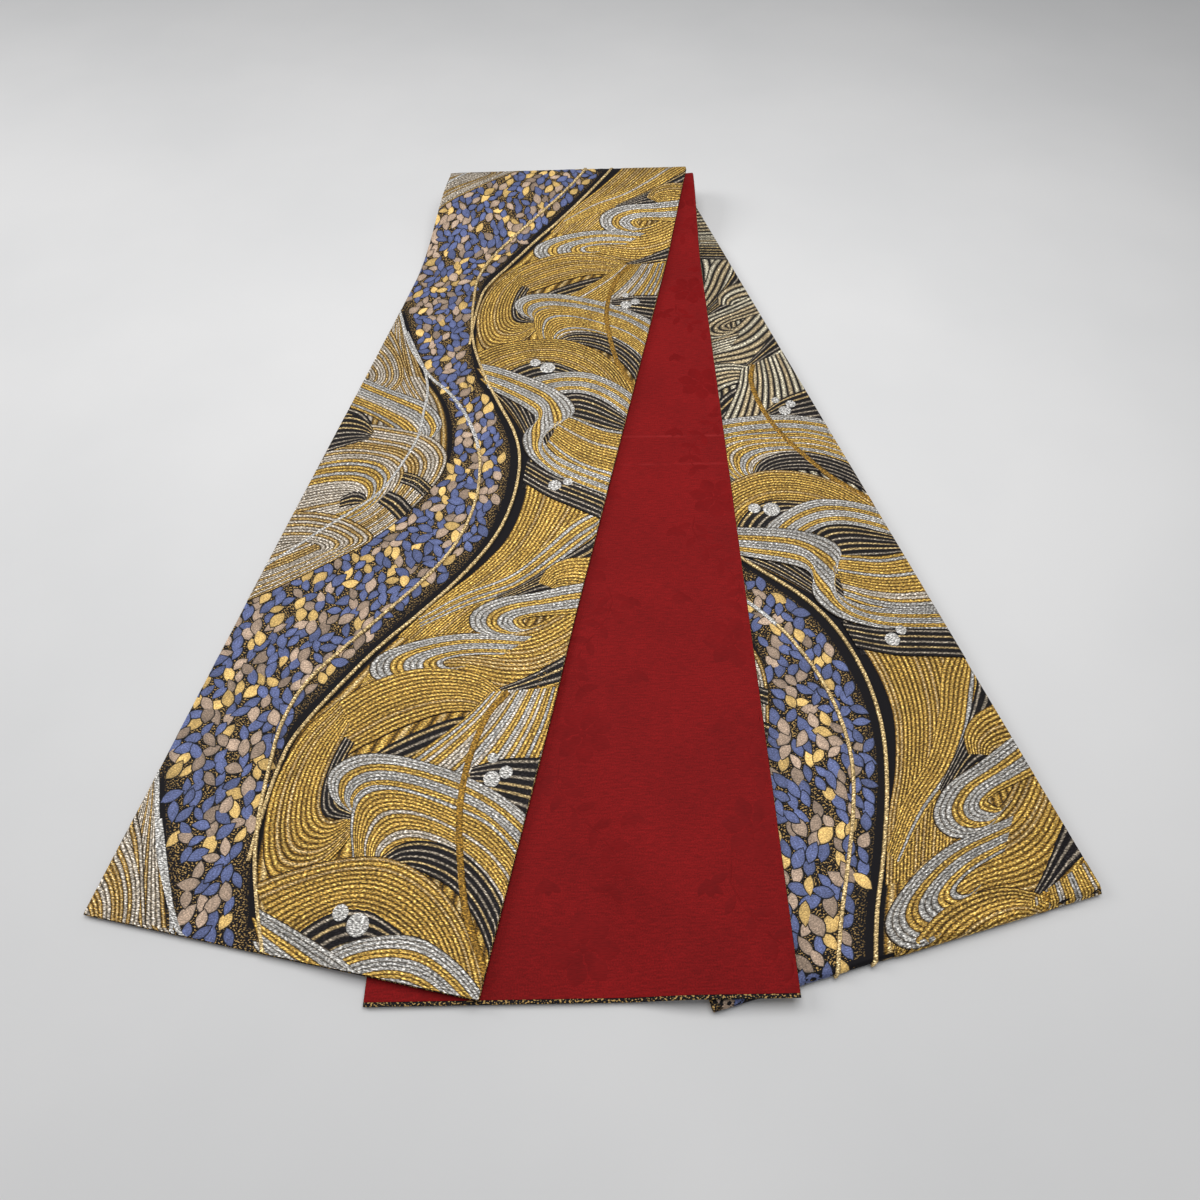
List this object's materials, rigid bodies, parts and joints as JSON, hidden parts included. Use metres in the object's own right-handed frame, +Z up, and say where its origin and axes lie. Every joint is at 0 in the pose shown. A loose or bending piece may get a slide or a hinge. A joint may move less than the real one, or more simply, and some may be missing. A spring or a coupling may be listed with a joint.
{
  "type": "folded sash",
  "caption": "Long stiff woven sash, lined and folded zigzag into a fan of flat legs that opens downward from a tall soft fold; worn wrapped round the waist.",
  "frame": {"origin": "middle of the footprint, at the height of the surface the sash lies on", "axes": "+Y up the fan towards the top fold, +X to the right of the fan seen from above with the top fold away, +Z up through the stacked legs"},
  "size_m": [0.7684, 1.0452, 0.0464],
  "materials": {
    "brocade": "metallic thread brocade",
    "interlining": "coarse matte cotton",
    "lining": "soft satin damask",
    "turned_edge": "turned and pressed brocade"
  },
  "bodies": {
    "root": {"under_leg_face": "brocade", "under_leg_core": "interlining", "under_leg_lining": "lining", "under_leg_left_edge": "turned_edge", "under_leg_right_edge": "turned_edge", "right_leg_face": "brocade", "right_leg_core": "interlining", "right_leg_lining": "lining", "right_leg_left_edge": "turned_edge", "right_leg_right_edge": "turned_edge", "top_fold_face": "brocade", "top_fold_core": "interlining", "top_fold_lining": "lining", "inner_fold_face": "brocade", "inner_fold_core": "interlining", "inner_fold_lining": "lining", "bottom_fold_face": "brocade", "bottom_fold_core": "interlining", "bottom_fold_lining": "lining"},
    "centre_leg": {"centre_leg_face": "brocade", "centre_leg_core": "interlining", "centre_leg_lining": "lining", "centre_leg_left_edge": "turned_edge", "centre_leg_right_edge": "turned_edge", "centre_leg_end_hem": "turned_edge"},
    "front_leg": {"front_leg_face": "brocade", "front_leg_core": "interlining", "front_leg_lining": "lining", "front_leg_left_edge": "turned_edge", "front_leg_right_edge": "turned_edge", "front_leg_end_hem": "turned_edge"}
  },
  "joints": [
    {"name": "front_leg_fold", "type": "hinge", "parent": "root", "child": "front_leg", "pos_m": [-0.02296, 0.49697, 0.04757], "axis": [-0.9997, -0.0225, -0.004], "range_deg": [0, 180]},
    {"name": "centre_leg_fold", "type": "hinge", "parent": "root", "child": "centre_leg", "pos_m": [-0.00917, 0.47726, 0.0422], "axis": [-0.9923, -0.1236, -0.0111], "range_deg": [0, 90]}
  ],
  "couplings": [
    {"joint": "centre_leg_fold", "follows": "front_leg_fold", "ratio": 0.5}
  ]
}
